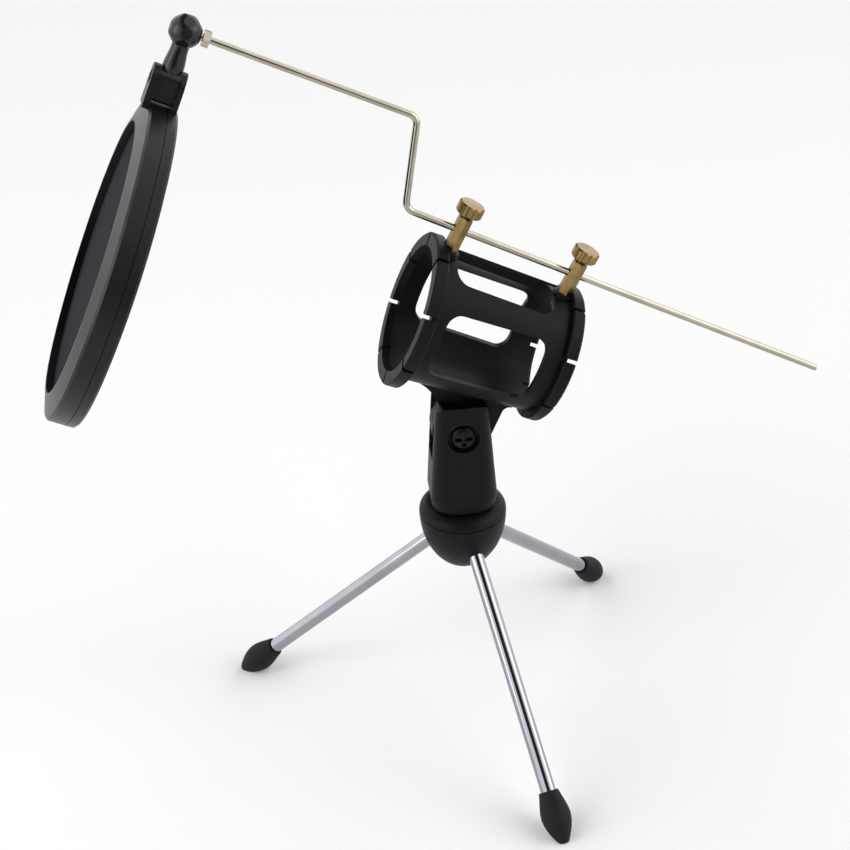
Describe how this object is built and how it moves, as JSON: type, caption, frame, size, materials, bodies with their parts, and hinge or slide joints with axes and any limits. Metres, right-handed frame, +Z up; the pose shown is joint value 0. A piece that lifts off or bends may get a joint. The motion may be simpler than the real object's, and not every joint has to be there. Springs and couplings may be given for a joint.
{
  "type": "pop filter",
  "caption": "Round two-screen pop filter on a stepped boom, clamped to a tilting microphone shock cage on a swivel post and a small three-legged stand",
  "frame": {"origin": "on the tripod's vertical axis, at the level of the surface it stands on", "axes": "+Z up; +X towards the boom's free tail, so the filter is on the -X side; Y across, along the cage's tilt axis"},
  "size_m": [0.3374, 0.193, 0.3449],
  "materials": {
    "abs_satin": "satin black injection-moulded ABS",
    "abs_gloss": "polished black moulded ABS",
    "chrome": "bright chromium plate on steel",
    "zinc_steel": "zinc-plated steel",
    "black_steel": "black oxide on steel",
    "nickel": "bright nickel plate",
    "brass": "turned brass, lightly tarnished",
    "rubber": "moulded black rubber",
    "nylon": "stretched dark nylon knit",
    "washer_nylon": "moulded nylon"
  },
  "bodies": {
    "tripod": {"hub_shell": "abs_satin", "hub_collar": "abs_satin", "hub_stud": "zinc_steel", "leg_inserts": "brass", "leg_front": "chrome", "leg_right": "chrome", "leg_left": "chrome", "foot_cap_front": "rubber", "foot_cap_right": "rubber", "foot_cap_left": "rubber"},
    "post": {"swivel_post": "abs_satin", "post_thread_insert": "brass", "pivot_screw": "black_steel", "pivot_nut": "black_steel", "pivot_washers": "washer_nylon"},
    "cage": {"shock_cage": "abs_satin", "clamp_post_front": "brass", "clamp_post_rear": "brass", "post_screws": "zinc_steel"},
    "front_thumb_screw": {"thumb_screw_front": "brass"},
    "rear_thumb_screw": {"thumb_screw_rear": "brass"},
    "boom": {"boom_rod": "nickel"},
    "boom_nut": {"jam_nut": "nickel"},
    "head": {"swivel_ball": "abs_gloss", "head_insert": "brass"},
    "filter": {"filter_front_ring": "abs_satin", "filter_rear_ring": "abs_satin", "screen_front": "nylon", "screen_rear": "nylon", "screen_hoop": "abs_satin", "hinge_screw": "zinc_steel"}
  },
  "joints": [
    {"name": "post_pan", "type": "hinge", "parent": "tripod", "child": "post", "pos_m": [0, 0, 0.108], "axis": [0, 0, 1], "continuous": true},
    {"name": "cage_tilt", "type": "hinge", "parent": "post", "child": "cage", "pos_m": [0, 0, 0.152], "axis": [0, 1, 0], "range_deg": [-48, 32]},
    {"name": "boom_slide", "type": "slide", "parent": "cage", "child": "boom", "axis": [0.8886, 0, -0.4587], "range_m": [-0.105, 0.013]},
    {"name": "front_thumb_turn", "type": "hinge", "parent": "cage", "child": "front_thumb_screw", "pos_m": [-0.00152, 0, 0.23997], "axis": [0.4587, 0, 0.8886], "continuous": true},
    {"name": "rear_thumb_turn", "type": "hinge", "parent": "cage", "child": "rear_thumb_screw", "pos_m": [0.04698, 0, 0.21493], "axis": [0.4587, 0, 0.8886], "continuous": true},
    {"name": "nut_turn", "type": "hinge", "parent": "boom", "child": "boom_nut", "pos_m": [-0.10149, 0.00585, 0.33815], "axis": [0.9024, 0.0055, -0.4309], "continuous": true},
    {"name": "head_turn", "type": "hinge", "parent": "boom", "child": "head", "pos_m": [-0.10149, 0.00585, 0.33815], "axis": [0.9024, 0.0055, -0.4309], "range_deg": [-180, 180]},
    {"name": "filter_swing", "type": "hinge", "parent": "head", "child": "filter", "pos_m": [-0.1103, 0.00224, 0.31966], "axis": [0.9024, 0.0055, -0.4309], "range_deg": [-60, 60]}
  ]
}
